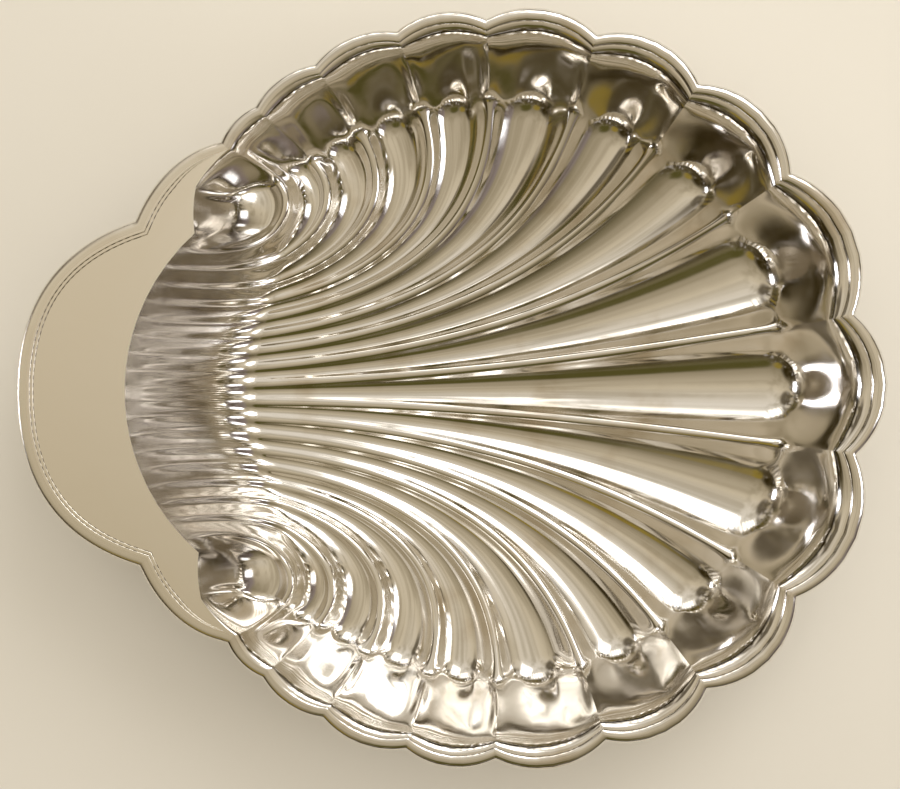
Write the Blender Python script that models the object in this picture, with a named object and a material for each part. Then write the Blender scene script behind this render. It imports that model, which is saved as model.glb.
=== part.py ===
"""Shell bonbon bowl, pressed from one sheet of metal and silver plated.

Nineteen flutes fan out from the flat lug that the bowl is carried by, to a lobed rim. The
flutes next to the lug curl round into its corners, and the edge is turned down all round.
Metres, +Z up. The lug points to -X, and the origin is at the middle of the base.
"""
import math

import bmesh
import bpy
import numpy as np

# Sheet and edge
SHEET = 0.0010                # thickness of the metal
DEPTH = 0.0440                # from the table to the top of the edge
FRONT_ROLL_WIDTH = 0.0048     # width of the turned edge at the middle flute, seen from above
ROLL_WIDTH = 0.0034           # its width at the lug
ROLL_ROUND = 0.0012           # how far the edge's inner side dips at the front of the bowl
LIP = 0.0030                  # how far the edge is turned down

# Lobed rim: cusps on a circle about FAN_CENTRE that tightens towards the lug
FAN_CENTRE = 0.0080           # ahead of the drawing's zero, on the middle line
FRONT_CUSP_RADIUS = 0.1122
BACK_CUSP_RADIUS = 0.1046
FRONT_FLUTE_SPAN = 21.0       # degrees, the middle flute
FLUTE_SPANS = (23.5, 19.5, 17.4, 17.3, 14.1, 13.9, 11.5, 7.9)
FRONT_LOBE_RISE = 0.2265      # rise of a lobe as a share of its chord
BACK_LOBE_RISE = 0.100

# Edge of the lug, where the flutes start side by side
HINGE_X = -0.0953             # the point of it on the middle line
HINGE_RADIUS = 0.0620
HINGE_PITCH = 0.0050          # from ridge to ridge
CORNER_GAP = 0.0040           # from the last ridge to the side of the lug
CORNER = (-0.007066, -0.013185)    # from the last cusp to where the side of the lug turns in to the rim
CORNER_BOW = 0.04             # bow of the lug's edge there, as a share of its length

# Outline of the lug, one side
LUG_TIP = -0.1272
LUG_NOTCH = (-0.025266, -0.022685)    # from the last cusp
TIP_HANDLE = 0.0300
NOTCH_HANDLE = (-0.0200, -0.0065)
SHOULDER_HANDLES = ((0.0040, 0.0095), (-0.0133, -0.0027))

# Course of the ridges, from the first beside the middle flute to the last by the lug
RUN_OUT = (0.43, 0.87)        # how long a ridge keeps straight, as a share of its span
RUN_IN = (0.26, 0.77)         # the same at the rim
SWIRL = (-3.0, 33.0)          # degrees by which a ridge meets the rim aslant

# Heights along a flute
WALL_RUN = 0.0315             # length of the back wall, from the lug down to the floor
WALL_SHARE = 0.5              # the most of a short flute that its wall takes
WALL_POWER = 1.7
CUP_RUN = 0.0155              # length of the cup that ends each flute
CUP_SHARE = 0.2               # the most of a short flute that its cup takes
CUP_POWER = 2.8
BRIM_SHARE = 0.28             # share of a cup over which its top rounds out to a brim
REST_SHARE = 0.50             # share of the way from the wall to the rim that lies level
CLIMB_SLOPE = 0.34            # slope that the floor has reached where the cup starts
CLIMB_POWER = 1.8
CORNER_RISE = 0.0240          # how much higher the curled flutes lie
CORNER_FROM = 5.0             # the flute, counted from the middle, where that starts

# Section of a flute
RELIEF = 0.30                 # height of a ridge for each metre of flute width
PLAIN_WIDTH = 0.0020          # width at which the relief dies out
RIDGE_HALF = 0.0017           # half width of a ridge's rounded top
RIDGE_RUN = 0.0135            # length over which a ridge climbs to its cusp
RIDGE_POWER = 1.8
FLAT_SHARE = 0.20             # share of the width that lies flat at the bottom
CHANNEL_POWER = 2.0
ROUND_SHARE = 0.65            # the most of a narrow flute's half width that the ridge's top takes
LOBE_POWER = 8                # how late the rows of a flute take up the curve of its lobe

# Fineness of the mesh
FLAT_EDGE = (1 - FLAT_SHARE) / 2
COLUMNS = (0.0, 0.07, 0.2, FLAT_EDGE, 1 - FLAT_EDGE, 0.8, 0.93)
WALL_ROWS, REST_ROWS, CLIMB_ROWS, CUP_ROWS = 5, 3, 3, 5
TIP_STEPS, SHOULDER_STEPS = 14, 8
ROLL_TURNS = (60.0, 120.0, 180.0)    # degrees round the turned edge, from its inner side
CURVE_STEPS = 240
SHARP_ANGLE = 40.0            # degrees; the lug's edge and the lip stay crisp

SILVER = (0.80, 0.77, 0.72, 1.0)
RIDGES = len(FLUTE_SPANS) + 1


def bezier(p0, p1, p2, p3, steps):
    """Points of a cubic curve, ends included."""
    t = np.linspace(0.0, 1.0, steps + 1)[:, None]
    s = 1.0 - t
    points = [np.asarray(p, float) for p in (p0, p1, p2, p3)]
    return s ** 3 * points[0] + 3 * s * s * t * points[1] + 3 * s * t * t * points[2] + t ** 3 * points[3]


def arc_through(start, crest, end, share):
    """The point at a share of the circular arc that runs through three points."""
    start, crest, end = (np.asarray(p, float) for p in (start, crest, end))
    middle = (start + end) / 2
    rise = np.linalg.norm(crest - middle)
    half = np.linalg.norm(end - start) / 2
    radius = (half * half + rise * rise) / (2 * rise)
    up = (crest - middle) / rise
    along = (end - start) / (2 * half)
    angle = math.asin(min(1.0, half / radius)) * (2 * share - 1)
    return middle + up * (rise - radius + radius * math.cos(angle)) + along * radius * math.sin(angle)


def even_course(points):
    """A function that gives the point of a line at a share of its length, and that length."""
    steps = np.r_[0.0, np.cumsum(np.linalg.norm(np.diff(points, axis=0), axis=1))]
    length = steps[-1]

    def at(share):
        distance = np.clip(share, 0.0, 1.0) * length
        return np.array([np.interp(distance, steps, points[:, 0]), np.interp(distance, steps, points[:, 1])])
    return at, length


def cusp_angle(ridge):
    return math.radians(FRONT_FLUTE_SPAN / 2 + sum(FLUTE_SPANS[:ridge - 1]))


def roll_width(place):
    """Width of the turned edge; place counts flutes from the middle one."""
    return FRONT_ROLL_WIDTH + (ROLL_WIDTH - FRONT_ROLL_WIDTH) * min(1.0, abs(place) / (RIDGES - 0.5))


def rim_cusp(ridge, inset):
    """Where a ridge meets the rim, on the upper side. Ridges count from the middle flute, and
    inset is 0 outside and 1 at the inner side of the turned edge."""
    angle = cusp_angle(ridge)
    share = (ridge - 1) / (RIDGES - 1)
    radius = FRONT_CUSP_RADIUS + (BACK_CUSP_RADIUS - FRONT_CUSP_RADIUS) * share
    radius -= inset * roll_width(ridge - 0.5)
    return np.array([FAN_CENTRE + radius * math.cos(angle), radius * math.sin(angle)])


def hinge_point(y):
    """A point of the lug's inner edge, where the flutes start."""
    return np.array([HINGE_X + HINGE_RADIUS - math.sqrt(HINGE_RADIUS ** 2 - y * y), y])


def ridge_line(ridge):
    """Plan of a ridge on the upper side. The one past the last ridge is the side of the lug."""
    start = hinge_point((ridge - 0.5) * HINGE_PITCH)
    if ridge > RIDGES:
        start = hinge_point((RIDGES - 0.5) * HINGE_PITCH + CORNER_GAP)
        corner = rim_cusp(RIDGES, 0.0) + CORNER
        third = (corner - start) / 3
        bow = np.array([-abs(third[1]) / 6, 0.0])
        return bezier(start, start + third + bow, start + 2 * third + bow, corner, CURVE_STEPS)
    end = rim_cusp(ridge, 1.0)
    span = np.linalg.norm(end - start)
    share = (ridge - 1) / (RIDGES - 1)
    run_out = RUN_OUT[0] + (RUN_OUT[1] - RUN_OUT[0]) * share ** 2
    run_in = RUN_IN[0] + (RUN_IN[1] - RUN_IN[0]) * share ** 2
    swirl = cusp_angle(ridge) + math.radians(SWIRL[0] + (SWIRL[1] - SWIRL[0]) * share)
    towards = np.array([math.cos(swirl), math.sin(swirl)])
    return bezier(start, start + [run_out * span, 0.0], end - towards * run_in * span, end, CURVE_STEPS)


def signed_ridge(number):
    """Ridges are numbered from one side of the lug to the other; this counts from the middle."""
    return number - RIDGES - 1 if number <= RIDGES else number - RIDGES


def ridge_course(number):
    signed = signed_ridge(number)
    line = ridge_line(abs(signed)) * [1.0, math.copysign(1.0, signed)]
    return even_course(line)


COURSES = [ridge_course(number) for number in range(2 * RIDGES + 2)]
FLUTES = len(COURSES) - 1


def lobe_crest(flute, inset):
    """The middle of a lobe of the rim, on the flute's own side."""
    first, second = signed_ridge(flute), signed_ridge(flute + 1)
    cusps = [rim_cusp(abs(k), 0.0) * [1.0, math.copysign(1.0, k)] for k in (first, second)]
    share = (min(abs(first), abs(second)) if first * second > 0 else 0) / (RIDGES - 1)
    rise = FRONT_LOBE_RISE + (BACK_LOBE_RISE - FRONT_LOBE_RISE) * share
    chord = cusps[1] - cusps[0]
    outward = np.array([chord[1], -chord[0]])
    inwards = inset * roll_width(flute + 0.5 - FLUTES / 2) / np.linalg.norm(outward)
    return (cusps[0] + cusps[1]) / 2 + outward * (rise - inwards)


def rim_point(flute, share, inset):
    """A point of the rim line of one flute; inset is 0 outside and 1 inside the turned edge."""
    first, second = signed_ridge(flute), signed_ridge(flute + 1)
    ends = [rim_cusp(abs(k), inset) * [1.0, math.copysign(1.0, k)] for k in (first, second)]
    return arc_through(ends[0], lobe_crest(flute, inset), ends[1], share)


def corner_point(flute, share):
    """The short end of a curled flute, along the lug's edge."""
    ends = [COURSES[flute][0](1.0), COURSES[flute + 1][0](1.0)]
    chord = ends[1] - ends[0]
    crest = (ends[0] + ends[1]) / 2 + np.array([chord[1], -chord[0]]) * CORNER_BOW
    return arc_through(ends[0], crest, ends[1], share)


def flute_end(flute, share):
    if flute in (0, FLUTES - 1):
        return corner_point(flute, share)
    return rim_point(flute, share, 1.0)


def edge_height(place):
    """Height at which the bowl meets the turned edge; place counts flutes from the middle."""
    share = min(1.0, abs(place) / (RIDGES - 0.5))
    return DEPTH - ROLL_ROUND * (1.0 - share ** 2)


def stations(length, run):
    """Distances along a flute at which its wall ends, its floor starts to climb and its cup starts."""
    back = min(WALL_RUN, WALL_SHARE * length)
    return back, back + REST_SHARE * (length - back), length - min(run, CUP_SHARE * length)


def rising(way, top, power):
    """A rise from 0 to 1 that steepens as a power does, and rounds off over its last share."""
    start = 1 - top
    slope = power * start ** (power - 1)
    past = max(0.0, way - start)
    eased = slope * past * past / (2 * top) if past > 0 else 0.0
    return (min(way, start) ** power + slope * past - eased) / (start ** power + slope * top / 2)


def profile(distance, length, place, raised, run, power):
    """Height along a flute at a distance from the lug's edge, with its floor raised by an amount."""
    back, climb_start, cup_start = stations(length, run)
    wall = max(0.0, 1 - distance / back) ** WALL_POWER
    cup = rising(max(0.0, (distance - cup_start) / (length - cup_start)), BRIM_SHARE, power)
    climb_run = length - climb_start
    way = max(0.0, (distance - climb_start) / climb_run)
    corner = max(0.0, (abs(place) - CORNER_FROM) / (RIDGES + 0.5 - CORNER_FROM))
    climb = CLIMB_SLOPE * climb_run / CLIMB_POWER * (1 - corner) * way ** CLIMB_POWER
    floor = SHEET + CORNER_RISE * corner ** 2 + climb + raised
    from_back = DEPTH - (DEPTH - floor) * (1 - wall)
    return from_back + (edge_height(place) - from_back) * cup


def ridge_relief(number, share):
    """Height of a ridge over the flutes beside it, from their mean width there."""
    here = COURSES[number][0](share)
    widths = [np.linalg.norm(COURSES[n][0](share) - here) for n in (number - 1, number + 1)]
    return max(0.0, RELIEF * (sum(widths) / 2 - PLAIN_WIDTH))


def ridge_height(number, share):
    signed = signed_ridge(number)
    if abs(signed) > RIDGES:
        return DEPTH
    length = COURSES[number][1]
    place = signed - math.copysign(0.5, signed)
    return profile(share * length, length, place, ridge_relief(number, share), RIDGE_RUN, RIDGE_POWER)


def section(across, half_top):
    """Shape of a flute's section: 0 on its floor and 1 on the ridge, which may have a rounded top."""
    from_flat = max(0.0, (across - FLAT_SHARE) / (1 - FLAT_SHARE))
    return rising(from_flat, min(ROUND_SHARE, half_top), CHANNEL_POWER)


def flute_point(flute, across, share):
    """A point of the upper skin: flute number, share of its width, share of its length."""
    left, left_length = COURSES[flute]
    right, right_length = COURSES[flute + 1]
    a, b = left(share), right(share)
    plan = a + (b - a) * across
    if 0.0 < across < 1.0:
        chord = left(1.0) + (right(1.0) - left(1.0)) * across
        plan = plan + (flute_end(flute, across) - chord) * share ** LOBE_POWER
    length = left_length + (right_length - left_length) * across
    place = flute + across - FLUTES / 2
    low = profile(share * length, length, place, 0.0, CUP_RUN, CUP_POWER)
    nearest = flute if across <= 0.5 else flute + 1
    high = ridge_height(nearest, share)
    beside_lug = nearest in (0, FLUTES)
    width = max(np.linalg.norm(b - a), PLAIN_WIDTH)
    half_top = 0 if beside_lug else 2 * RIDGE_HALF / width
    height = low + (high - low) * section(abs(2 * across - 1), half_top)
    return (plan[0], plan[1], height)


def row_shares(length):
    """Shares of a flute's length at which the rows lie: back wall, level floor, climb and cup."""
    ends = (0.0, *stations(length, CUP_RUN), length)
    rows = (WALL_ROWS, REST_ROWS, CLIMB_ROWS, CUP_ROWS)
    shares = [np.linspace(a, b, n, endpoint=False) / length for a, b, n in zip(ends, ends[1:], rows)]
    return np.append(np.concatenate(shares), 1.0)


def lug_outline(inset):
    """Outline of the lug from the last cusp of the upper side round to the lower one."""
    cusp = rim_cusp(RIDGES, 0.0)
    notch = cusp + LUG_NOTCH
    handles = [np.array(h) for h in SHOULDER_HANDLES]
    shoulder = bezier(cusp, cusp + handles[1], notch + handles[0], notch, SHOULDER_STEPS)
    tip = np.array([LUG_TIP, 0.0])
    nose = bezier(notch, notch + NOTCH_HANDLE, tip + [0.0, TIP_HANDLE], tip, TIP_STEPS)
    upper = np.vstack([shoulder[:-1], nose])
    if inset:
        upper = inset_line(upper, inset * ROLL_WIDTH)
        upper[0] = rim_cusp(RIDGES, inset)
    lower = upper[::-1][1:] * [1.0, -1.0]
    return np.vstack([upper, lower])


def inset_line(points, inset):
    """A line moved inwards by a width, mitred at its corners."""
    ends = np.vstack([points[:1] * 2 - points[1:2], points, points[-2:-1] * [1.0, -1.0]])
    steps = np.diff(ends, axis=0)
    steps = steps / np.linalg.norm(steps, axis=1)[:, None]
    normals = np.column_stack([-steps[:, 1], steps[:, 0]])
    mitre = normals[:-1] + normals[1:]
    mitre = 2 * mitre / (mitre * mitre).sum(axis=1)[:, None]
    return points + mitre * inset


def add_bowl(bm):
    """The fluted skin, as a grid of vertices; returns its columns."""
    columns = []
    for flute in range(FLUTES):
        for across in COLUMNS:
            columns.append(add_column(bm, flute, across))
    columns.append(add_column(bm, FLUTES - 1, 1.0))
    for left, right in zip(columns, columns[1:]):
        for row in range(len(left) - 1):
            bm.faces.new((left[row], left[row + 1], right[row + 1], right[row]))
    return columns


def add_column(bm, flute, across):
    """One row of vertices along a flute, from the lug to the rim."""
    length = COURSES[flute][1] + (COURSES[flute + 1][1] - COURSES[flute][1]) * across
    return [bm.verts.new(flute_point(flute, across, share)) for share in row_shares(length)]


def add_edge(bm, columns):
    """The turned edge all round, and the inner line of it along the lug."""
    per_flute = len(COLUMNS)
    inner, outer = [], []
    for index in range(per_flute, (FLUTES - 1) * per_flute + 1):
        flute, column = divmod(index, per_flute)
        inner.append(columns[index][-1])
        outer.append(rim_point(min(flute, FLUTES - 2), COLUMNS[column] if flute < FLUTES - 1 else 1.0, 0.0))
    inside, outside = lug_outline(1.0), lug_outline(0.0)
    lug_line = [bm.verts.new((x, y, DEPTH)) for x, y in inside[1:-1]]
    inner += lug_line
    outer += list(outside[1:-1])
    rings = [inner]
    for turn in ROLL_TURNS:
        ring = [roll_point(vert, point, math.radians(turn)) for vert, point in zip(inner, outer)]
        rings.append([bm.verts.new(place) for place in ring])
    rings.append([bm.verts.new((point[0], point[1], DEPTH - LIP)) for point in outer])
    count = len(inner)
    for ring, following in zip(rings, rings[1:]):
        for i in range(count):
            j = (i + 1) % count
            bm.faces.new((ring[i], following[i], following[j], ring[j]))
    return lug_line


def roll_point(vert, point, turn):
    """A point of the turned edge's round section, from a vertex inside it to a point outside it."""
    share = (1 - math.cos(turn)) / 2
    x = vert.co.x + (point[0] - vert.co.x) * share
    y = vert.co.y + (point[1] - vert.co.y) * share
    half_width = math.dist(vert.co.xy, point) / 2
    low = DEPTH - vert.co.z if turn < math.pi / 2 else min(half_width, LIP)
    return (x, y, DEPTH - low * (1 - math.sin(turn)))


def add_lug(bm, columns, lug_line):
    """The flat top of the lug, between the ends of the flutes and the turned edge."""
    last, first = columns[-1], columns[0]
    end_of_upper = [column[-1] for column in columns[-len(COLUMNS) - 1:]]
    end_of_lower = [column[-1] for column in columns[:len(COLUMNS) + 1]]
    hinge = [column[0] for column in columns]
    loop = end_of_lower[::-1] + first[1:-1][::-1] + hinge + last[1:-1] + end_of_upper[::-1] + lug_line
    bm.faces.new(loop)


def bowl_mesh():
    bm = bmesh.new()
    columns = add_bowl(bm)
    lug_line = add_edge(bm, columns)
    add_lug(bm, columns, lug_line)
    bmesh.ops.recalc_face_normals(bm, faces=bm.faces)
    if sum(face.normal.z * face.calc_area() for face in bm.faces) < 0:
        bmesh.ops.reverse_faces(bm, faces=bm.faces)
    bmesh.ops.triangulate(bm, faces=[face for face in bm.faces if len(face.verts) > 4])
    mesh = bpy.data.meshes.new("shell_bowl")
    bm.to_mesh(mesh)
    bm.free()
    return mesh


def silver_plate():
    material = bpy.data.materials.new("silver_plate")
    material.use_nodes = True
    shader = material.node_tree.nodes["Principled BSDF"]
    shader.inputs["Base Color"].default_value = SILVER
    shader.inputs["Metallic"].default_value = 1.0
    shader.inputs["Roughness"].default_value = 0.12
    return material


def build():
    for old in list(bpy.data.objects):
        bpy.data.objects.remove(old, do_unlink=True)
    bowl = bpy.data.objects.new("shell_bowl", bowl_mesh())
    bpy.context.scene.collection.objects.link(bowl)
    bowl.data.materials.append(silver_plate())
    bowl.data.shade_smooth()
    bowl.data.set_sharp_from_angle(angle=math.radians(SHARP_ANGLE))
    wall = bowl.modifiers.new("sheet", "SOLIDIFY")
    wall.thickness = SHEET
    wall.offset = -1.0
    wall.use_even_offset = True
    wall.use_quality_normals = True


build()
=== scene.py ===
"""Looks of the shell bonbon bowl: polished silver plate on a fluted, pressed sheet.

The bowl is made once more at a fine pitch, by the rule that its solid follows. Mesh code lays
the flutes out flat, and a Geometry Nodes tree raises them to their heights.
"""

import math

import bpy
import numpy as np
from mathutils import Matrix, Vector


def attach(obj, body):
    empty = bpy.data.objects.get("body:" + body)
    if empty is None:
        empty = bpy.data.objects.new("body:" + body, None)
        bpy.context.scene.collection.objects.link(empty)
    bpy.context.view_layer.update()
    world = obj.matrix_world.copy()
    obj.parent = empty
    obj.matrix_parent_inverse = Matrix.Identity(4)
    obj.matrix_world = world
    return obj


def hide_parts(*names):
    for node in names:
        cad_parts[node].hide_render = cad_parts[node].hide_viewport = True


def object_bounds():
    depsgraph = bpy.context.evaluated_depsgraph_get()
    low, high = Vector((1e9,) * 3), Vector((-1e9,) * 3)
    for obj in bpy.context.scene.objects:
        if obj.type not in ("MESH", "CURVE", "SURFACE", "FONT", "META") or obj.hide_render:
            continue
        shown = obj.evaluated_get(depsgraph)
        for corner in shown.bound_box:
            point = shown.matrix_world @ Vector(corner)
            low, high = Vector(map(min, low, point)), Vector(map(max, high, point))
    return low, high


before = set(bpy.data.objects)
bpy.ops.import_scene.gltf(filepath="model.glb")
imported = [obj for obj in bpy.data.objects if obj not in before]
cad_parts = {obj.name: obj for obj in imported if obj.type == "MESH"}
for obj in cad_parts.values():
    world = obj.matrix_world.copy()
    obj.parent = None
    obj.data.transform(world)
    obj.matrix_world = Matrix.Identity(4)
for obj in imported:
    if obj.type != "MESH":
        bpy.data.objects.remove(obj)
CAD_BOX = [list(corner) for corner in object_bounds()]

# Sheet and turned edge, in metres. At the front the edge stands over the bowl by ROLL_ROUND
SHEET = 0.0010
DEPTH = 0.0440
FRONT_ROLL_WIDTH = 0.0048
ROLL_WIDTH = 0.0034
ROLL_ROUND = 0.0012
LIP = 0.0030

# Lobed rim: radii of the cusps from the fan's centre, spans of the flutes in degrees, and the rise
# of the lobes as a share of their chord, each from the front to the lug
FAN_CENTRE = 0.0080
CUSP_RADII = (0.1122, 0.1046)
FRONT_FLUTE_SPAN = 21.0
FLUTE_SPANS = (23.5, 19.5, 17.4, 17.3, 14.1, 13.9, 11.5, 7.9)
LOBE_RISES = (0.2265, 0.100)
RIDGES = len(FLUTE_SPANS) + 1
LAST_RIDGE = RIDGES - 0.5    # flutes between the bowl's middle line and its last ridge

# Edge of the lug, where the flutes start, and the sides where the lug turns in to the rim
HINGE_X = -0.0953
HINGE_RADIUS = 0.0620
HINGE_PITCH = 0.0050
CORNER_GAP = 0.0040
CORNER = (-0.007066, -0.013185)    # from the last cusp
CORNER_BOW = 0.04
SIDE_BOW = 1 / 6

# Outline of the lug, one side
LUG_TIP = -0.1272
LUG_NOTCH = (-0.025266, -0.022685)    # from the last cusp
TIP_HANDLE = 0.0300
NOTCH_HANDLE = (-0.0200, -0.0065)
SHOULDER_HANDLES = ((0.0040, 0.0095), (-0.0133, -0.0027))

# Course of the ridges, from the front to the lug: how far their handles reach as shares of the
# ridge's span, and how far their ends are turned, in degrees
RUN_OUT = (0.43, 0.87)
RUN_IN = (0.26, 0.77)
SWIRL = (-3.0, 33.0)

# Sizes that the flutes' heights follow: named inputs of the Geometry Nodes tree
FLUTE_SIZES = {
    "Sheet": SHEET, "Depth": DEPTH, "Roll round": ROLL_ROUND,
    "Wall run": 0.0315, "Wall share": 0.5, "Wall power": 1.7,
    "Cup run": 0.0185, "Cup share": 0.24, "Cup power": 3.2, "Brim share": 0.28, "Tip round": 0.38,
    "Ridge run": 0.0135, "Ridge power": 1.8,
    "Rest share": 0.50, "Climb slope": 0.34, "Climb power": 1.8,
    "Corner rise": 0.0240, "Corner from": 5.0,
    "Flat share": 0.05, "Channel power": 2.0,
}

# Facts of each vertex of the flutes that the tree reads
FLUTE_FACTS = ("share", "length", "place", "across", "ridge_length", "ridge_place", "relief",
               "round_top", "by_lug", "skin")

# Ridges: relief for each metre that the flutes are wider than the plain width, half the width of
# the rounded top, and the least and largest share of a flute that it takes up
RELIEF = 0.30
PLAIN_WIDTH = 0.0032
RIDGE_HALF = 0.0017
LEAST_ROUND, ROUND_SHARE = 1e-4, 0.65
LOBE_POWER = 8    # keeps the bulge of the lobes close to the rim

# Chased border of the lug: two fine lines cut just inside the turned edge, and their dashes
CHASED_LINES = (0.0008, 0.0018)
CHASED_HALF = 0.00018
CHASED_DEPTH = 0.00016
CHASED_TAPER = 0.020
CHASED_DASH, DASH_EDGES = 0.0024, (-0.35, 0.15)
BETWEEN_DASHES = 0.25
SATIN_EDGE = 0.55    # satin share of the turned edge beside the lug

# Fineness of the mesh
HALF_COLUMNS = (0.0, 0.02, 0.045, 0.07, 0.1, 0.135, 0.175, 0.22, 0.29, 0.36)
COLUMNS = HALF_COLUMNS + (0.5,) + tuple(1 - u for u in HALF_COLUMNS[:0:-1])
ROWS = {"wall": 26, "rest": 18, "climb": 22, "cup": 38}
TIP_STEPS, SHOULDER_STEPS = 60, 24
ROLL_STEPS = 8
CURVE_STEPS = 400
SHARP_ANGLE = 35.0

# The photograph: its camera looked straight down from arm's length
PHOTO_WIDTH = 900
METRES_PER_PIXEL = 0.2911e-3
CAMERA_OVER_RIM = 0.340
CAMERA_AXIS = (-0.0006, -0.0014)
CAMERA_ROLL = -0.72    # degrees
SENSOR = 36.0    # mm

# Silver: its colours, and roughness from best to least buffed
SILVER = "#ECE9E4"
SATIN_SILVER = "#FBF6EC"
TARNISHED = "#B9A582"
CUT_LINE = "#6F6555"
TARNISH, TARNISH_EDGES = 0.35, (0.52, 0.74)
MIRROR_ROUGHNESS, BUFFING_EDGES = (0.055, 0.12), (0.3, 0.7)
SATIN_ROUGHNESS = 0.36

# Its unevenness: how far apart the lumps are in metres, and their detail. The waver and the ripple
# come from the press. The satin's grain is drawn coarser than a real one, so that it shows
UNEVENNESS = {
    "tarnish": (0.020, 4.0), "buffing": (0.006, 5.0),
    "waver": (0.016, 2.0), "ripple": (0.0045, 2.0), "grain": (0.0006, 2.0),
}
WAVER_HEIGHT, RIPPLE_HEIGHT, GRAIN_HEIGHT = 0.000060, 0.000008, 0.000006

# The back wall of ribs is hazier, and darker by a painted shade for the dark room that it mirrors. Both
# fade out over WALL_REACH, in metres from the lug
RIBBED_WALL_SHADE = "#8D8579"
WALL_SHADE_SHARE, WALL_HAZE, WALL_REACH = 0.85, 0.05, (0.024, 0.012)

# Light: soft panels by name, azimuth and angle from the zenith in degrees, size, radiance, colour
PANEL_DISTANCE = 1.1
PANELS = (
    ("window", 62.0, 52.0, (0.84, 0.96), 4.8, "#FFFEFD"),
    ("curtain", 100.0, 66.0, (0.90, 0.56), 1.8, "#FFFBF4"),
    ("side window", -4.0, 60.0, (0.50, 0.62), 5.0, "#FAFBFF"),
    ("door", 178.0, 78.0, (0.42, 0.34), 11.0, "#F8F8FF"),
)
MIRRORED_ONLY = "door"    # it stands low, and would burn a patch into the floor

# A panel fades from its core out to its edges, and hangs in folds that are darker in between
PANEL_CORE = 0.30
FOLDS, FOLD_SHADE, FOLD_POWER = 7.0, 0.93, 3.0

# The floor, and the overhead lamp that lights it
FLOOR_HALF = 12.0
FLOOR_COLOUR, FLOOR_ROUGHNESS = "#E6E1D6", 0.7
FILL_SIZE, FILL_HEIGHT, FILL_RADIANCE = 2.4, 1.6, 0.75

# The room that the silver mirrors: shades along an axis that leans towards the window, and patches
# by azimuth, angle from the zenith and reach in degrees, and colour
ROOM_AXIS = (90.0, 58.0)
ROOM_COLOURS = (
    (0.05, "#382F1C"), (0.30, "#6A6045"), (0.55, "#A5987E"), (0.77, "#D2C4AA"), (0.97, "#EAE1D2"),
)
ROOM_PATCHES = (
    (-90.0, 50.0, 19.0, "#565028"),
    (-150.0, 72.0, 26.0, "#33290F"),
    (-25.0, 68.0, 26.0, "#8A7D79"),
    (150.0, 58.0, 18.0, "#6B6150"),
    (-124.0, 56.0, 12.0, "#917D38"),
)
PATCH_CORE = 0.45

# What lies over them: mottling, dark and pale clutter that thins out upwards, and a skirting board.
# The reaches are heights of a direction, from 0 at the horizon to 1 at the zenith
ROOM_DETAIL = 3.0
MOTTLE_COLOUR, MOTTLE_SHARE, MOTTLE_SIZE, MOTTLE_EDGES = "#8C7F62", 0.45, 0.28, (0.45, 0.68)
CLUTTER_COLOUR, CLUTTER_EDGES = "#4A3F28", (0.42, 0.58)
PALE_COLOUR, PALE_SHARE, PALE_EDGES = "#C9C0B8", 0.7, (0.55, 0.66)
CLUTTER_SCALE, PALE_OFFSET = (8.0, 8.0, 3.2), (7.0, 3.0, 5.0)
CLUTTER_REACH = (0.62, 0.2)
SKIRTING_COLOUR, SKIRTING_REACH = "#2A2113", (0.26, 0.08)


def linear(hex_colour):
    """An sRGB hex colour as linear RGBA."""
    values = [int(hex_colour[i:i + 2], 16) / 255 for i in (1, 3, 5)]
    return (*[v / 12.92 if v <= 0.04045 else ((v + 0.055) / 1.055) ** 2.4 for v in values], 1.0)


def add_node(tree, kind, inputs=None, **settings):
    """A node with its settings; inputs are values or sockets, by name or number."""
    node = tree.nodes.new(kind)
    for name, value in settings.items():
        setattr(node, name, value)
    for key, value in (inputs or {}).items():
        socket = node.inputs[key]
        if isinstance(value, bpy.types.NodeSocket):
            tree.links.new(value, socket)
        else:
            socket.default_value = value
    return node


def layered(tree, colour, layers):
    """A colour with hex colours laid over it, each as far as its share says. A Mix node takes
    colours by its inputs 6 and 7, and gives one by its output 2."""
    for share, over in layers:
        inputs = {0: share.socket, 6: colour, 7: linear(over)}
        colour = add_node(tree, "ShaderNodeMix", inputs, data_type="RGBA").outputs[2]
    return colour


def add_object(name, data):
    """A new object in the scene."""
    thing = bpy.data.objects.new(name, data)
    bpy.context.scene.collection.objects.link(thing)
    return thing


def between(ends, share):
    """The value at a share of the way from one end to the other."""
    return ends[0] + (ends[1] - ends[0]) * share


class Field:
    """A number in a node tree. Arithmetic on it adds the Math nodes that work it out."""

    def __init__(self, tree, socket):
        self.tree = tree
        self.socket = socket

    def math(self, operation, *others):
        values = [self, *others]
        inputs = {i: v.socket if isinstance(v, Field) else v for i, v in enumerate(values)}
        node = add_node(self.tree, "ShaderNodeMath", inputs, operation=operation)
        return Field(self.tree, node.outputs[0])

    def __add__(self, other):
        return self.math("ADD", other)

    def __sub__(self, other):
        return self.math("SUBTRACT", other)

    def __mul__(self, other):
        return self.math("MULTIPLY", other)

    def __truediv__(self, other):
        return self.math("DIVIDE", other)

    def __pow__(self, other):
        return self.math("POWER", other)

    def __rsub__(self, other):
        return self * -1.0 + other

    def at_least(self, other):
        return self.math("MAXIMUM", other)

    def at_most(self, other):
        return self.math("MINIMUM", other)

    def map_to(self, low, high):
        """0 below one value and 1 above another, smooth between them."""
        node = add_node(self.tree, "ShaderNodeMapRange", {
            "Value": self.socket, "From Min": low, "From Max": high}, interpolation_type="SMOOTHSTEP")
        return Field(self.tree, node.outputs[0])

    def magnitude(self):
        return self.math("ABSOLUTE")


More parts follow.
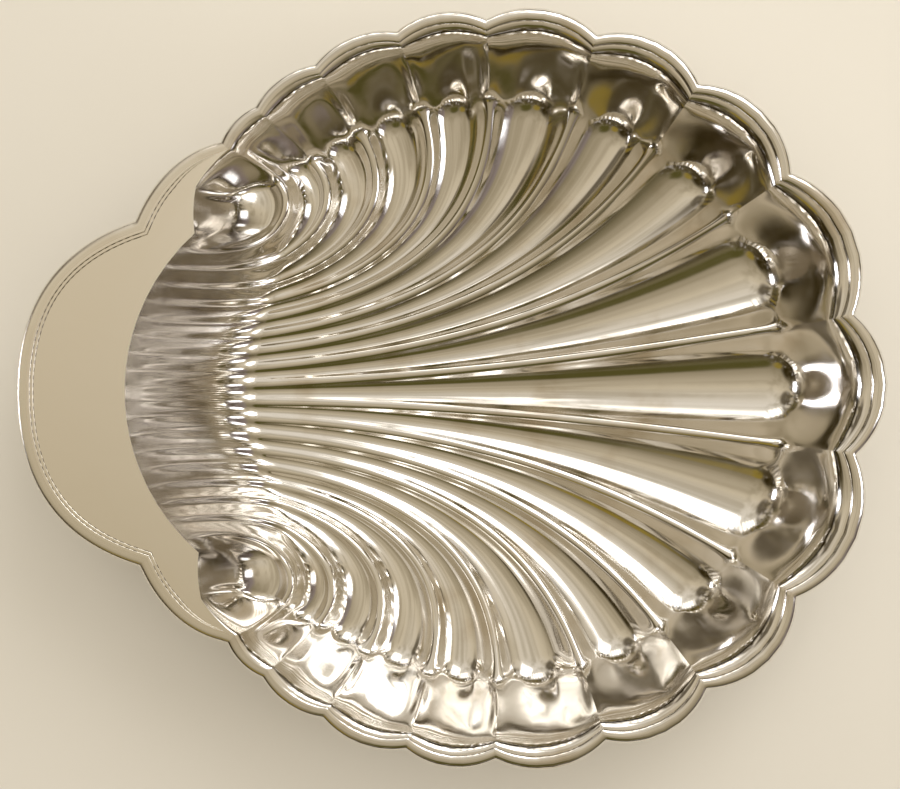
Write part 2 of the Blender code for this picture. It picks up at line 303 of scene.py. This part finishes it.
def bezier(p0, p1, p2, p3, steps):
    """Points of a cubic curve, ends included."""
    t = np.linspace(0.0, 1.0, steps + 1)[:, None]
    s = 1.0 - t
    points = [np.asarray(p, float) for p in (p0, p1, p2, p3)]
    return s ** 3 * points[0] + 3 * s * s * t * points[1] + 3 * s * t * t * points[2] + t ** 3 * points[3]


def arc_through(start, crest, end, share):
    """The point at a share of the circular arc that runs through three points."""
    middle = (start + end) / 2
    rise = np.linalg.norm(crest - middle)
    half = np.linalg.norm(end - start) / 2
    radius = (half * half + rise * rise) / (2 * rise)
    up = (crest - middle) / rise
    along = (end - start) / (2 * half)
    angle = math.asin(min(1.0, half / radius)) * (2 * share - 1)
    return middle + up * (rise - radius + radius * math.cos(angle)) + along * radius * math.sin(angle)


def even_course(points):
    """A function that gives the points of a line at shares of its length, and that length."""
    steps = np.r_[0.0, np.cumsum(np.linalg.norm(np.diff(points, axis=0), axis=1))]

    def at(shares):
        distance = np.asarray(shares) * steps[-1]
        return np.stack([np.interp(distance, steps, points[:, i]) for i in (0, 1)], axis=-1)
    return at, steps[-1]


def cusp_angle(ridge):
    return math.radians(FRONT_FLUTE_SPAN / 2 + sum(FLUTE_SPANS[:ridge - 1]))


def roll_width(place):
    """Width of the turned edge; place counts flutes from the middle one."""
    return between((FRONT_ROLL_WIDTH, ROLL_WIDTH), min(1.0, abs(place) / LAST_RIDGE))


def rim_cusp(signed, inset):
    """Where a ridge meets the rim. Ridges count from the middle flute, negative on the -Y side,
    and inset is 0 outside and 1 at the inner side of the turned edge."""
    ridge = abs(signed)
    angle = math.copysign(cusp_angle(ridge), signed)
    radius = between(CUSP_RADII, (ridge - 1) / (RIDGES - 1)) - inset * roll_width(ridge - 0.5)
    return np.array([FAN_CENTRE + radius * math.cos(angle), radius * math.sin(angle)])


def hinge_point(y):
    return np.array([HINGE_X + HINGE_RADIUS - math.sqrt(HINGE_RADIUS ** 2 - y * y), y])


def ridge_line(ridge):
    """Plan of a ridge on the +Y side. The one past the last ridge is the side of the lug."""
    start = hinge_point((ridge - 0.5) * HINGE_PITCH)
    if ridge > RIDGES:
        start = hinge_point(LAST_RIDGE * HINGE_PITCH + CORNER_GAP)
        corner = rim_cusp(RIDGES, 0.0) + CORNER
        third = (corner - start) / 3
        bow = np.array([-abs(third[1]) * SIDE_BOW, 0.0])
        return bezier(start, start + third + bow, start + 2 * third + bow, corner, CURVE_STEPS)
    end = rim_cusp(ridge, 1.0)
    span = np.linalg.norm(end - start)
    share = (ridge - 1) / (RIDGES - 1)
    run_out, run_in = between(RUN_OUT, share ** 2), between(RUN_IN, share ** 2)
    swirl = cusp_angle(ridge) + math.radians(between(SWIRL, share))
    heading = np.array([math.cos(swirl), math.sin(swirl)])
    return bezier(start, start + [run_out * span, 0.0], end - heading * run_in * span, end, CURVE_STEPS)


def signed_ridge(number):
    """Ridges are numbered from one side of the lug to the other; this counts from the middle."""
    return number - RIDGES - 1 if number <= RIDGES else number - RIDGES


def ridge_course(number):
    signed = signed_ridge(number)
    return even_course(ridge_line(abs(signed)) * [1.0, math.copysign(1.0, signed)])


COURSES = [ridge_course(number) for number in range(2 * RIDGES + 2)]
FLUTES = len(COURSES) - 1


def rim_point(flute, share, inset):
    """A point of the rim line of one flute; inset is 0 outside and 1 inside the turned edge."""
    signed = (signed_ridge(flute), signed_ridge(flute + 1))
    outer = [rim_cusp(k, 0.0) for k in signed]
    place = (min(abs(k) for k in signed) if signed[0] * signed[1] > 0 else 0) / (RIDGES - 1)
    chord = outer[1] - outer[0]
    outward = np.array([chord[1], -chord[0]])
    inwards = inset * roll_width(flute + 0.5 - FLUTES / 2) / np.linalg.norm(outward)
    crest = (outer[0] + outer[1]) / 2 + outward * (between(LOBE_RISES, place) - inwards)
    return arc_through(rim_cusp(signed[0], inset), crest, rim_cusp(signed[1], inset), share)


def corner_point(flute, share):
    """The short end of a curled flute, along the lug's edge."""
    ends = [COURSES[number][0](1.0) for number in (flute, flute + 1)]
    chord = ends[1] - ends[0]
    crest = (ends[0] + ends[1]) / 2 + np.array([chord[1], -chord[0]]) * CORNER_BOW
    return arc_through(ends[0], crest, ends[1], share)


def flute_end(flute, share):
    if flute in (0, FLUTES - 1):
        return corner_point(flute, share)
    return rim_point(flute, share, 1.0)


def edge_height(place):
    """Height at which the bowl meets the turned edge; place counts flutes from the middle."""
    return DEPTH - ROLL_ROUND * (1.0 - min(1.0, abs(place) / LAST_RIDGE) ** 2)


def ridge_relief(number, shares):
    """Height of a ridge over the flutes beside it, from their mean width there."""
    if number in (0, FLUTES):
        return np.zeros(len(shares))
    here = COURSES[number][0](shares)
    widths = [np.linalg.norm(COURSES[n][0](shares) - here, axis=1) for n in (number - 1, number + 1)]
    return np.maximum(0.0, RELIEF * (sum(widths) / 2 - PLAIN_WIDTH))


def row_shares(length):
    """Shares of a flute's length at which the rows lie: back wall, level floor, climb and cup."""
    back = min(FLUTE_SIZES["Wall run"], FLUTE_SIZES["Wall share"] * length)
    climb = back + FLUTE_SIZES["Rest share"] * (length - back)
    cup = length - min(FLUTE_SIZES["Cup run"], FLUTE_SIZES["Cup share"] * length)
    ends = (0.0, back, climb, cup, length)
    parts = [np.linspace(a, b, n, endpoint=False) for a, b, n in zip(ends, ends[1:], ROWS.values())]
    return np.append(np.concatenate(parts), length) / length


def flute_column(flute, across):
    """One row of points along a flute, laid out flat, with what its heights depend on."""
    (left, left_length), (right, right_length) = COURSES[flute], COURSES[flute + 1]
    length = between((left_length, right_length), across)
    shares = row_shares(length)
    sides = left(shares), right(shares)
    plan = between(sides, across)
    if 0.0 < across < 1.0:
        chord = between((left(1.0), right(1.0)), across)
        plan = plan + (flute_end(flute, across) - chord) * shares[:, None] ** LOBE_POWER
    nearest = flute if across <= 0.5 else flute + 1
    width = np.maximum(np.linalg.norm(sides[1] - sides[0], axis=1), PLAIN_WIDTH)
    beside_lug = nearest in (0, FLUTES)
    signed = signed_ridge(nearest)
    facts = {
        "share": shares,
        "length": length,
        "place": flute + across - FLUTES / 2,
        "across": abs(2 * across - 1),
        "ridge_length": COURSES[nearest][1],
        "ridge_place": signed - math.copysign(0.5, signed),
        "relief": ridge_relief(nearest, shares),
        "round_top": 0.0 if beside_lug else np.minimum(ROUND_SHARE, 2 * RIDGE_HALF / width),
        "by_lug": 1.0 if beside_lug else 0.0,
        "skin": 1.0,
    }
    height = np.full(len(shares), edge_height(facts["place"]))
    return np.column_stack([plan, height]), facts


def lug_outline(inset):
    """Outline of the lug from the last cusp of the +Y side round to that of the -Y side."""
    cusp = rim_cusp(RIDGES, 0.0)
    notch = cusp + LUG_NOTCH
    handles = [np.array(h) for h in SHOULDER_HANDLES]
    shoulder = bezier(cusp, cusp + handles[1], notch + handles[0], notch, SHOULDER_STEPS)
    tip = np.array([LUG_TIP, 0.0])
    nose = bezier(notch, notch + NOTCH_HANDLE, tip + [0.0, TIP_HANDLE], tip, TIP_STEPS)
    upper = np.vstack([shoulder[:-1], nose])
    if np.any(inset):
        upper = inset_line(upper, inset)
    lower = upper[::-1][1:] * [1.0, -1.0]
    return np.vstack([upper, lower])


def inset_line(points, inset):
    """A line moved inwards by a width, mitred at its corners."""
    ends = np.vstack([points[:1] * 2 - points[1:2], points, points[-2:-1] * [1.0, -1.0]])
    steps = np.diff(ends, axis=0)
    steps = steps / np.linalg.norm(steps, axis=1)[:, None]
    normals = np.column_stack([-steps[:, 1], steps[:, 0]])
    mitre = normals[:-1] + normals[1:]
    mitre = 2 * mitre / (mitre * mitre).sum(axis=1)[:, None]
    return points + mitre * np.reshape(inset, (-1, 1))


class Sheet:
    """Vertices, faces and vertex facts of the bowl's upper side, as they are added."""

    def __init__(self):
        self.points = []
        self.facts = []
        self.faces = []
        self.satin = []

    def add(self, point, **facts):
        self.points.append(point)
        self.facts.append(facts)
        return len(self.points) - 1

    def face(self, corners, satin=0.0):
        self.faces.append(corners)
        self.satin.append(satin)

    def strip(self, left, right, satin=0.0):
        """Faces between two lines of vertices, each as long as the other."""
        for i in range(len(left) - 1):
            self.face((left[i], left[i + 1], right[i + 1], right[i]), satin)

    def mesh(self, name):
        mesh = bpy.data.meshes.new(name)
        mesh.from_pydata([tuple(p) for p in self.points], [], self.faces)
        for fact in sorted({key for facts in self.facts for key in facts}):
            attribute = mesh.attributes.new(fact, "FLOAT", "POINT")
            attribute.data.foreach_set("value", [float(facts.get(fact, 0.0)) for facts in self.facts])
        satin = mesh.attributes.new("satin", "FLOAT", "FACE")
        satin.data.foreach_set("value", self.satin)
        return mesh


def add_flutes(sheet):
    """The fluted skin; returns its columns of vertices."""
    stations = [(flute, across) for flute in range(FLUTES) for across in COLUMNS] + [(FLUTES - 1, 1.0)]
    columns = []
    for flute, across in stations:
        points, facts = flute_column(flute, across)
        rows = {key: np.broadcast_to(value, len(points)) for key, value in facts.items()}
        column = [sheet.add(point, **{k: v[i] for k, v in rows.items()}) for i, point in enumerate(points)]
        columns.append(column)
    for left, right in zip(columns, columns[1:]):
        sheet.strip(left, right)
    return columns


def add_roll(sheet, columns):
    """The turned edge all round; returns its inner line along the lug, and that line's run."""
    per_flute = len(COLUMNS)
    last_cusp = (FLUTES - 1) * per_flute
    inner = [column[-1] for column in columns[per_flute:last_cusp + 1]]
    outer = [rim_point(f, u, 0.0) for f in range(1, FLUTES - 1) for u in COLUMNS]
    outer.append(rim_point(FLUTES - 2, 1.0, 0.0))
    outside, inside = lug_outline(0.0), lug_outline(ROLL_WIDTH)
    run = np.r_[0.0, np.cumsum(np.linalg.norm(np.diff(outside, axis=0), axis=1))]
    lug_line = [sheet.add((x, y, DEPTH), run=r) for (x, y), r in zip(inside[1:-1], run[1:-1])]
    inner += lug_line
    outer += list(outside[1:-1])
    rim_end = last_cusp - per_flute
    ring = inner
    for step in range(1, ROLL_STEPS + 2):
        places = [roll_point(np.array(sheet.points[v]), point, step) for v, point in zip(inner, outer)]
        following = [sheet.add(place) for place in places]
        sheet.strip(following[:rim_end + 1], ring[:rim_end + 1])
        sheet.strip(following[rim_end:] + following[:1], ring[rim_end:] + ring[:1], SATIN_EDGE)
        ring = following
    return lug_line, run[1:-1]


def roll_point(start, outer, step):
    """A point of the turned edge's section: a half round, and then the lip."""
    if step > ROLL_STEPS:
        return (outer[0], outer[1], DEPTH - LIP)
    turn = math.pi * step / ROLL_STEPS
    share = (1 - math.cos(turn)) / 2
    half_width = math.dist(start[:2], outer) / 2
    low = DEPTH - start[2] if turn < math.pi / 2 else min(half_width, LIP)
    plan = start[:2] + (outer - start[:2]) * share
    return (plan[0], plan[1], DEPTH - low * (1 - math.sin(turn)))


def add_chasing(sheet, lug_line, run):
    """The two cut lines inside the lug's edge; returns the innermost line of vertices."""
    from_end = np.minimum(run, run[-1] + run[0] - run)
    taper = np.minimum(1.0, from_end / CHASED_TAPER)
    line = lug_line
    for centre in CHASED_LINES:
        for step in (-1, 0, 1):
            offset = (centre + step * CHASED_HALF) * taper
            inset = np.zeros(len(run) + 2)
            inset[1:-1] = ROLL_WIDTH + offset
            half = (len(inset) + 1) // 2
            plan = lug_outline(inset[:half])[1:-1]
            cut = 1.0 if step == 0 else 0.0
            heights = DEPTH - cut * CHASED_DEPTH * taper
            following = [sheet.add((x, y, z), chased=cut * t, run=r)
                         for (x, y), z, t, r in zip(plan, heights, taper, run)]
            sheet.strip(line, following, 1.0)
            line = following
    return line


def add_lug(sheet, columns, lug_line, inner_line):
    """The flat of the lug, between the ends of the flutes and the chased lines."""
    first, last = columns[0], columns[-1]
    end_of_upper = [column[-1] for column in columns[-len(COLUMNS) - 1:]]
    end_of_lower = [column[-1] for column in columns[:len(COLUMNS) + 1]]
    hinge = [column[0] for column in columns]
    bowl_side = end_of_lower[::-1] + first[1:-1][::-1] + hinge + last[1:-1] + end_of_upper[::-1]
    sheet.face(tuple(bowl_side + [lug_line[0]] + inner_line + [lug_line[-1]]), 1.0)


def profile(facts, sizes, prefix, raised, run, power):
    """Height along a flute, or along a ridge, with its floor raised by an amount."""
    length, place = facts[prefix + "length"], facts[prefix + "place"].magnitude()
    distance = facts["share"] * length
    back = (length * sizes["Wall share"]).at_most(sizes["Wall run"])
    climb_start = back + (length - back) * sizes["Rest share"]
    cup_start = length - (length * sizes["Cup share"]).at_most(run)
    wall = (1.0 - distance / back).at_least(0.0) ** sizes["Wall power"]
    up_the_cup = ((distance - cup_start) / (length - cup_start)).at_least(0.0)
    cup = rising(up_the_cup, sizes["Brim share"], power)
    climb_run = length - climb_start
    way = ((distance - climb_start) / climb_run).at_least(0.0) ** sizes["Climb power"]
    corner_span = sizes["Corner from"] * -1.0 + FLUTES / 2
    corner = ((place - sizes["Corner from"]) / corner_span).at_least(0.0)
    climb = sizes["Climb slope"] * climb_run / sizes["Climb power"] * (1.0 - corner) * way
    floor = sizes["Sheet"] + sizes["Corner rise"] * corner * corner + climb + raised
    depth = sizes["Depth"]
    from_back = depth - (depth - floor) * (1.0 - wall)
    outward = (place / LAST_RIDGE).at_most(1.0)
    edge = depth - sizes["Roll round"] * (1.0 - outward * outward)
    return from_back + (edge - from_back) * cup


def rising(way, top, power):
    """A rise from 0 to 1 that steepens as a power does, and rounds off over its last share."""
    start = 1.0 - top
    slope = power * start ** (power - 1.0)
    past = (way - start).at_least(0.0)
    full = start ** power + slope * top * 0.5
    return (way.at_most(start) ** power + slope * past - slope * past * past / (top * 2.0)) / full


def section(facts, sizes):
    """Shape across a flute: 0 on its flat floor, 1 on the ridge, whose top is rounded."""
    flat, power = sizes["Flat share"], sizes["Channel power"]
    from_flat = ((facts["across"] - flat) / (1.0 - flat)).at_least(0.0)
    return rising(from_flat, facts["round_top"].at_least(LEAST_ROUND), power)


def flute_tree(material):
    """Geometry Nodes tree that raises the flat layout of the flutes to their heights."""
    tree = bpy.data.node_groups.new("fluted sheet", "GeometryNodeTree")
    tree.interface.new_socket("Geometry", in_out="INPUT", socket_type="NodeSocketGeometry")
    for name in FLUTE_SIZES:
        tree.interface.new_socket(name, in_out="INPUT", socket_type="NodeSocketFloat")
    tree.interface.new_socket("Geometry", in_out="OUTPUT", socket_type="NodeSocketGeometry")
    source = add_node(tree, "NodeGroupInput")
    sizes = {name: Field(tree, source.outputs[name]) for name in FLUTE_SIZES}
    facts = {}
    for name in FLUTE_FACTS:
        reader = add_node(tree, "GeometryNodeInputNamedAttribute", {"Name": name}, data_type="FLOAT")
        facts[name] = Field(tree, reader.outputs["Attribute"])
    cup_run = sizes["Cup run"] * (facts["across"] * facts["across"] * sizes["Tip round"] + 1.0)
    low = profile(facts, sizes, "", 0.0, cup_run, sizes["Cup power"])
    ridge = profile(facts, sizes, "ridge_", facts["relief"], sizes["Ridge run"], sizes["Ridge power"])
    high = ridge + (sizes["Depth"] - ridge) * facts["by_lug"]
    height = low + (high - low) * section(facts, sizes)
    here = add_node(tree, "GeometryNodeInputPosition")
    split = add_node(tree, "ShaderNodeSeparateXYZ", {0: here.outputs[0]})
    raised = add_node(tree, "ShaderNodeCombineXYZ",
                      {"X": split.outputs["X"], "Y": split.outputs["Y"], "Z": height.socket})
    on_skin = facts["skin"].math("GREATER_THAN", 0.5)
    shaped = add_node(tree, "GeometryNodeSetPosition", {
        "Geometry": source.outputs["Geometry"], "Selection": on_skin.socket,
        "Position": raised.outputs[0]})
    real = add_node(tree, "GeometryNodeRealizeInstances", {0: shaped.outputs[0]})
    dressed = add_node(tree, "GeometryNodeSetMaterial", {"Geometry": real.outputs[0], "Material": material})
    add_node(tree, "NodeGroupOutput", {"Geometry": dressed.outputs[0]})
    return tree


def raised_mesh(obj, tree):
    """The mesh that the tree makes of an object, as a plain mesh."""
    modifier = obj.modifiers.new("flutes", "NODES")
    modifier.node_group = tree
    for item in tree.interface.items_tree:
        if item.in_out == "INPUT" and item.name in FLUTE_SIZES:
            modifier[item.identifier] = FLUTE_SIZES[item.name]
    depsgraph = bpy.context.evaluated_depsgraph_get()
    mesh = bpy.data.meshes.new_from_object(obj.evaluated_get(depsgraph))
    obj.modifiers.remove(modifier)
    return mesh


def make_bowl(material):
    """The whole bowl as one closed sheet."""
    sheet = Sheet()
    columns = add_flutes(sheet)
    lug_line, run = add_roll(sheet, columns)
    inner_line = add_chasing(sheet, lug_line, run)
    add_lug(sheet, columns, lug_line, inner_line)
    bowl = add_object("silver_shell_bowl", sheet.mesh("silver_shell_bowl"))
    bowl.data.materials.append(material)
    bowl.data = raised_mesh(bowl, flute_tree(material))
    bowl.data.shade_smooth()
    bowl.data.set_sharp_from_angle(angle=math.radians(SHARP_ANGLE))
    lug = max(bowl.data.polygons, key=lambda face: face.loop_total)
    lug.use_smooth = False
    for loop in lug.loop_indices:
        bowl.data.edges[bowl.data.loops[loop].edge_index].use_edge_sharp = True
    wall = bowl.modifiers.new("sheet", "SOLIDIFY")
    wall.thickness = SHEET
    wall.offset = -1.0
    wall.use_quality_normals = True
    return bowl


def silver_plate():
    """Silver plate on a pressed sheet, buffed to a mirror that wavers a little, and satin on the
    lug. It holds a breath of brown tarnish, the ribs of the back wall are duller and painted
    darker as shade, and the chased lines are dark."""
    material = bpy.data.materials.new("silver plate, buffed and satin")
    material.use_nodes = True
    tree = material.node_tree
    facts = {}
    for name in ("satin", "share", "length", "skin", "run", "chased"):
        reader = add_node(tree, "ShaderNodeAttribute", attribute_name=name)
        facts[name] = Field(tree, reader.outputs["Fac"])
    place = add_node(tree, "ShaderNodeTexCoord").outputs["Object"]
    lumps = {}
    for name, (size, detail) in UNEVENNESS.items():
        inputs = {"Vector": place, "Scale": 1.0 / size, "Detail": detail}
        noise = add_node(tree, "ShaderNodeTexNoise", inputs)
        lumps[name] = Field(tree, noise.outputs["Fac"])

    satin = facts["satin"]
    # The ribbed back wall: a share for its haze and for its painted shade
    wall = (facts["share"] * facts["length"]).map_to(*WALL_REACH) * facts["skin"]
    dash = (facts["run"] * (2 * math.pi / CHASED_DASH)).math("SINE").map_to(*DASH_EDGES)
    colour = layered(tree, linear(SILVER), [
        (lumps["tarnish"].map_to(*TARNISH_EDGES) * TARNISH, TARNISHED),
        # painted shade on the ribbed back wall
        (wall * WALL_SHADE_SHARE, RIBBED_WALL_SHADE),
        (satin, SATIN_SILVER),
        (facts["chased"] * (dash * (1.0 - BETWEEN_DASHES) + BETWEEN_DASHES), CUT_LINE),
    ])
    best, least = MIRROR_ROUGHNESS
    mirror = lumps["buffing"].map_to(*BUFFING_EDGES) * (least - best) + best
    roughness = mirror + wall * WALL_HAZE + (SATIN_ROUGHNESS - mirror) * satin
    pressed = lumps["waver"] * WAVER_HEIGHT + lumps["ripple"] * RIPPLE_HEIGHT
    height = pressed + lumps["grain"] * satin * GRAIN_HEIGHT
    bump = add_node(tree, "ShaderNodeBump", {"Height": height.socket, "Distance": 1.0})

    shader = tree.nodes["Principled BSDF"]
    shader.inputs["Metallic"].default_value = 1.0
    tree.links.new(colour, shader.inputs["Base Color"])
    tree.links.new(roughness.socket, shader.inputs["Roughness"])
    tree.links.new(bump.outputs["Normal"], shader.inputs["Normal"])
    return material


def add_floor():
    """The plain, pale floor that the bowl stands on."""
    low = CAD_BOX[0][2]
    corners = [(x * FLOOR_HALF, y * FLOOR_HALF, low) for x, y in ((-1, -1), (1, -1), (1, 1), (-1, 1))]
    mesh = bpy.data.meshes.new("floor")
    mesh.from_pydata(corners, [], [(0, 1, 2, 3)])
    material = bpy.data.materials.new("pale floor")
    material.use_nodes = True
    shader = material.node_tree.nodes["Principled BSDF"]
    shader.inputs["Base Color"].default_value = linear(FLOOR_COLOUR)
    shader.inputs["Roughness"].default_value = FLOOR_ROUGHNESS
    mesh.materials.append(material)
    floor = add_object("floor", mesh)


def towards(azimuth, from_zenith):
    """A unit vector: azimuth is counted from +X to +Y, both angles in degrees."""
    turn, tilt = math.radians(azimuth), math.radians(from_zenith)
    return Vector((math.sin(tilt) * math.cos(turn), math.sin(tilt) * math.sin(turn), math.cos(tilt)))


def add_panel(name, azimuth, from_zenith, size, radiance, colour):
    """A soft lamp that faces the bowl, as bright as its radiance says."""
    data = bpy.data.lights.new(name, "AREA")
    data.shape = "RECTANGLE"
    data.size, data.size_y = size
    data.energy = radiance * math.pi * size[0] * size[1]
    data.color = linear(colour)[:3]
    data.use_nodes = True
    tree = data.node_tree
    spot = add_node(tree, "ShaderNodeNewGeometry").outputs["Parametric"]
    split = add_node(tree, "ShaderNodeSeparateXYZ", {0: spot})
    across, up = (Field(tree, split.outputs[i]) * 2.0 - 1.0 for i in (0, 1))
    folds = (across * (math.pi * FOLDS)).math("SINE") * 0.5 + 0.5
    glow = across.magnitude().map_to(1.0, PANEL_CORE) * up.magnitude().map_to(1.0, PANEL_CORE)
    glow = glow * (1.0 - folds ** FOLD_POWER * FOLD_SHADE)
    tree.links.new(glow.socket, tree.nodes["Emission"].inputs["Strength"])
    way = towards(azimuth, from_zenith)
    lamp = add_object(name, data)
    lamp.location = way * PANEL_DISTANCE
    lamp.rotation_euler = way.to_track_quat("Z", "Y").to_euler()
    lamp.visible_diffuse = name != MIRRORED_ONLY


def add_fill():
    """A wide overhead lamp for the floor. The silver doesn't mirror it."""
    data = bpy.data.lights.new("fill", "AREA")
    data.shape = "SQUARE"
    data.size = FILL_SIZE
    data.energy = FILL_RADIANCE * math.pi * FILL_SIZE ** 2
    lamp = add_object("fill", data)
    lamp.location = (0.0, 0.0, FILL_HEIGHT)
    lamp.visible_glossy = False


def room_shades(tree, way):
    """The room's shades along its axis, with a share and a colour for each patch over them."""
    leans = []
    for azimuth, from_zenith in (ROOM_AXIS, *[patch[:2] for patch in ROOM_PATCHES]):
        inputs = {0: way, 1: towards(azimuth, from_zenith)}
        lean = add_node(tree, "ShaderNodeVectorMath", inputs, operation="DOT_PRODUCT")
        leans.append(Field(tree, lean.outputs["Value"]))
    ramp = add_node(tree, "ShaderNodeValToRGB", {0: (leans[0] * 0.5 + 0.5).socket})
    elements = ramp.color_ramp.elements
    while len(elements) < len(ROOM_COLOURS):
        elements.new(1.0)
    for element, (place, colour) in zip(elements, ROOM_COLOURS):
        element.position = place
        element.color = linear(colour)
    patches = []
    for lean, (_, _, reach, colour) in zip(leans[1:], ROOM_PATCHES):
        edge, core = (math.cos(math.radians(angle)) for angle in (reach, reach * PATCH_CORE))
        patches.append((lean.map_to(edge, core), colour))
    return ramp.outputs[0], patches


def room_clutter(tree, way):
    """Shares and colours of what lies over the room's shades."""
    height = Field(tree, add_node(tree, "ShaderNodeSeparateXYZ", {0: way}).outputs["Z"])
    stretched = add_node(tree, "ShaderNodeVectorMath", {0: way, 1: CLUTTER_SCALE}, operation="MULTIPLY")
    moved = add_node(tree, "ShaderNodeVectorMath", {0: stretched.outputs[0], 1: PALE_OFFSET})
    lumps = []
    for place, size, edges in (
            (way, MOTTLE_SIZE, MOTTLE_EDGES),
            (stretched.outputs[0], 1.0, CLUTTER_EDGES),
            (moved.outputs[0], 1.0, PALE_EDGES)):
        inputs = {"Vector": place, "Scale": 1.0 / size, "Detail": ROOM_DETAIL}
        noise = add_node(tree, "ShaderNodeTexNoise", inputs)
        lumps.append(Field(tree, noise.outputs["Fac"]).map_to(*edges))
    mottle, dark, pale = lumps
    low_down = height.map_to(*CLUTTER_REACH)
    return [
        (mottle * MOTTLE_SHARE, MOTTLE_COLOUR),
        (dark * low_down, CLUTTER_COLOUR),
        (pale * PALE_SHARE * low_down, PALE_COLOUR),
        (height.map_to(*SKIRTING_REACH), SKIRTING_COLOUR),
    ]


def light_room():
    """A beige room, paler towards its window on the +Y side and olive where it is in shade."""
    world = bpy.data.worlds.new("room")
    bpy.context.scene.world = world
    world.use_nodes = True
    tree = world.node_tree
    tree.nodes.clear()
    way = add_node(tree, "ShaderNodeTexCoord").outputs["Generated"]
    shades, patches = room_shades(tree, way)
    colour = layered(tree, shades, patches + room_clutter(tree, way))
    glow = add_node(tree, "ShaderNodeBackground", {"Color": colour, "Strength": 1.0})
    add_node(tree, "ShaderNodeOutputWorld", {"Surface": glow.outputs[0]})
    for panel in PANELS:
        add_panel(*panel)
    add_fill()


def add_camera():
    """The photograph's camera."""
    data = bpy.data.cameras.new("photo camera")
    data.sensor_width = SENSOR
    data.lens = SENSOR * CAMERA_OVER_RIM / (PHOTO_WIDTH * METRES_PER_PIXEL)
    camera = add_object("photo camera", data)
    camera.location = (*CAMERA_AXIS, DEPTH + CAMERA_OVER_RIM)
    camera.rotation_euler = (0.0, 0.0, math.radians(CAMERA_ROLL))
    bpy.context.scene.camera = camera


def main():
    bpy.context.scene.view_settings.view_transform = "Standard"
    bowl = make_bowl(silver_plate())
    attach(bowl, "root")
    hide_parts("shell_bowl")
    add_floor()
    light_room()
    add_camera()


main()
